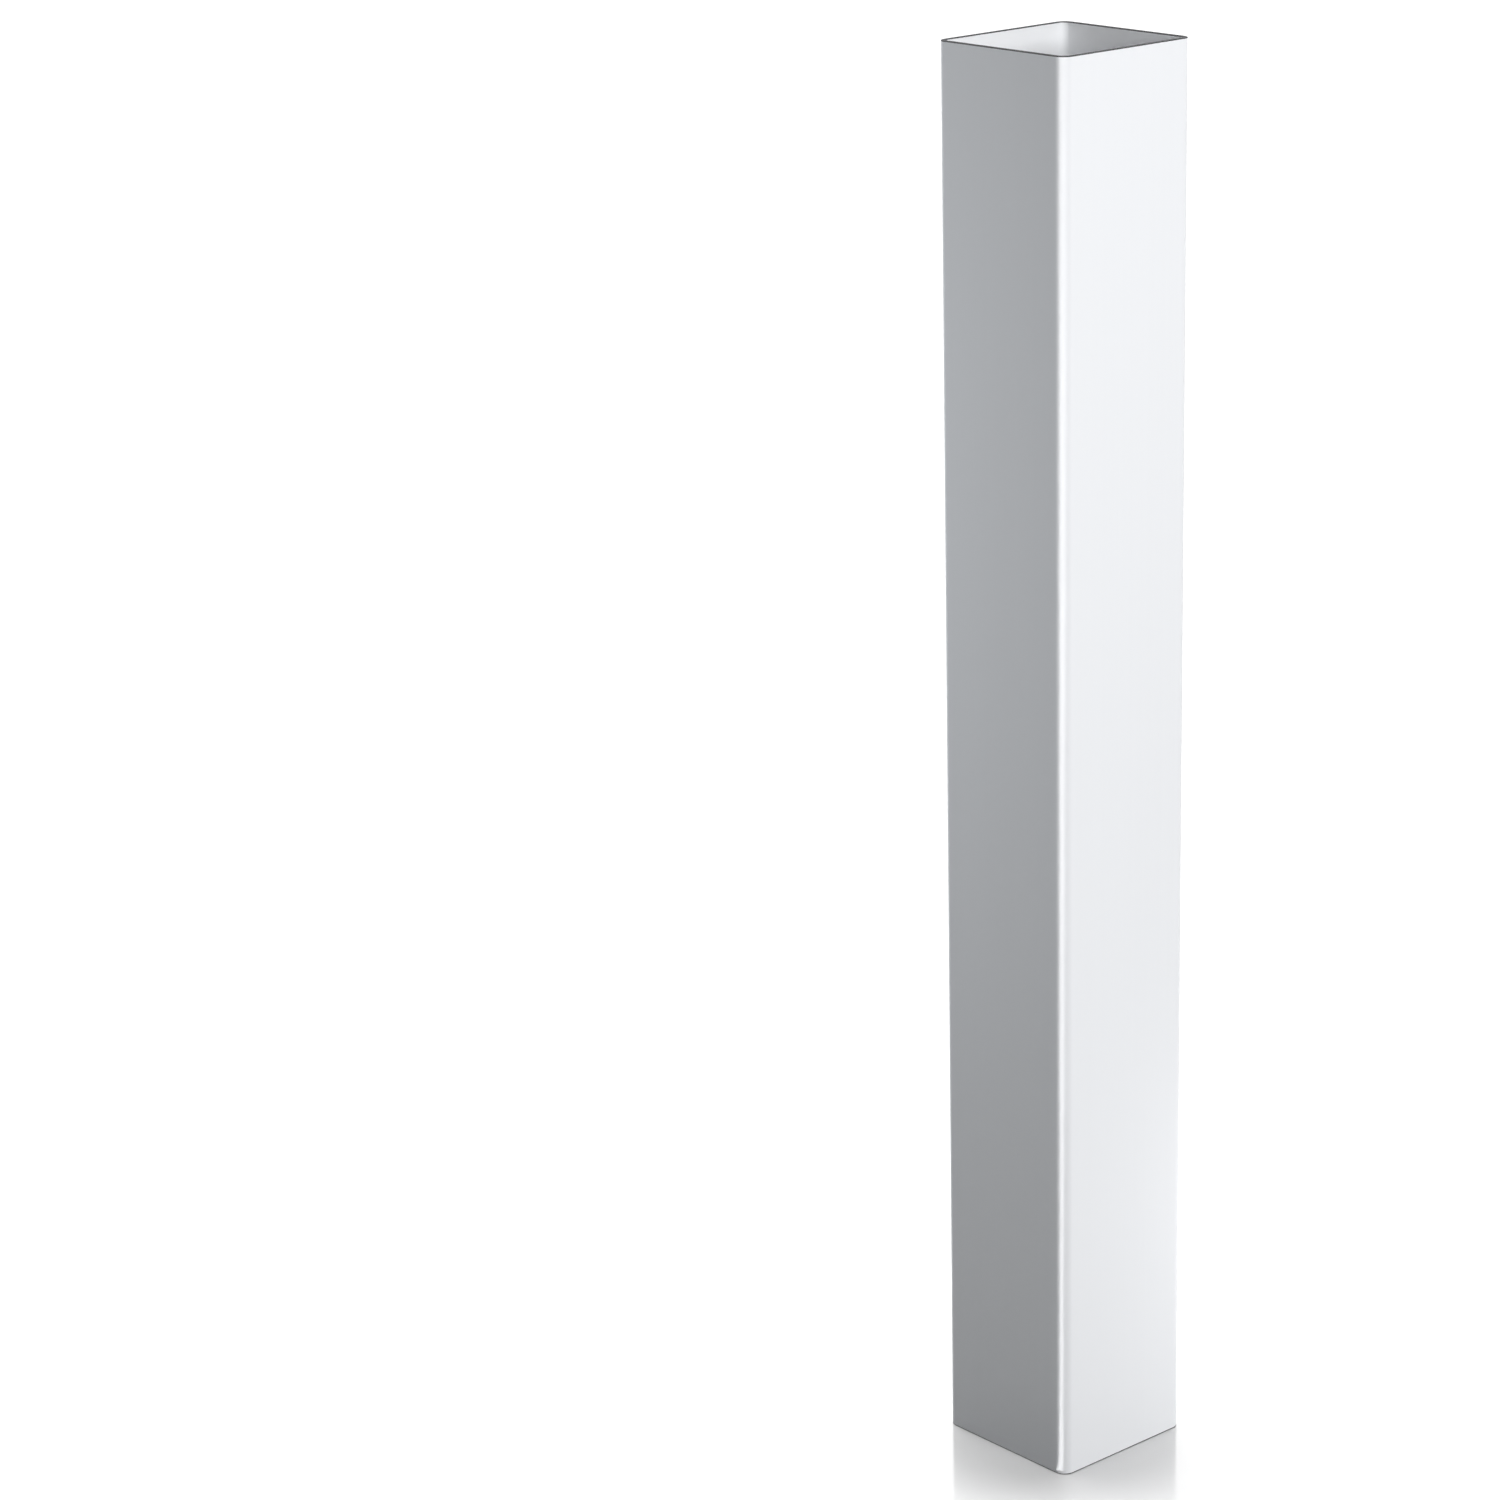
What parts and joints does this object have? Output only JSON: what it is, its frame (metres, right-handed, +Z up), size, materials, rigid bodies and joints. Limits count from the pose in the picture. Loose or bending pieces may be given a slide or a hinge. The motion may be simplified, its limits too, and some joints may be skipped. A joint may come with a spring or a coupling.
{
  "type": "square vinyl post sleeve",
  "caption": "Square white extruded tube with rounded upright corners, open at both ends, that slides down over a porch post.",
  "frame": {"origin": "middle of the sleeve's foot, on the plane that it stands on", "axes": "+Z up along the sleeve; X and Y square to its faces"},
  "size_m": [0.127, 0.127, 1.0668],
  "materials": {
    "white_vinyl": "smooth semi-gloss white rigid vinyl, duller inside, with sawn ends in the dark grey of the core"
  },
  "bodies": {
    "root": {"post_sleeve": "white_vinyl"}
  },
  "joints": []
}
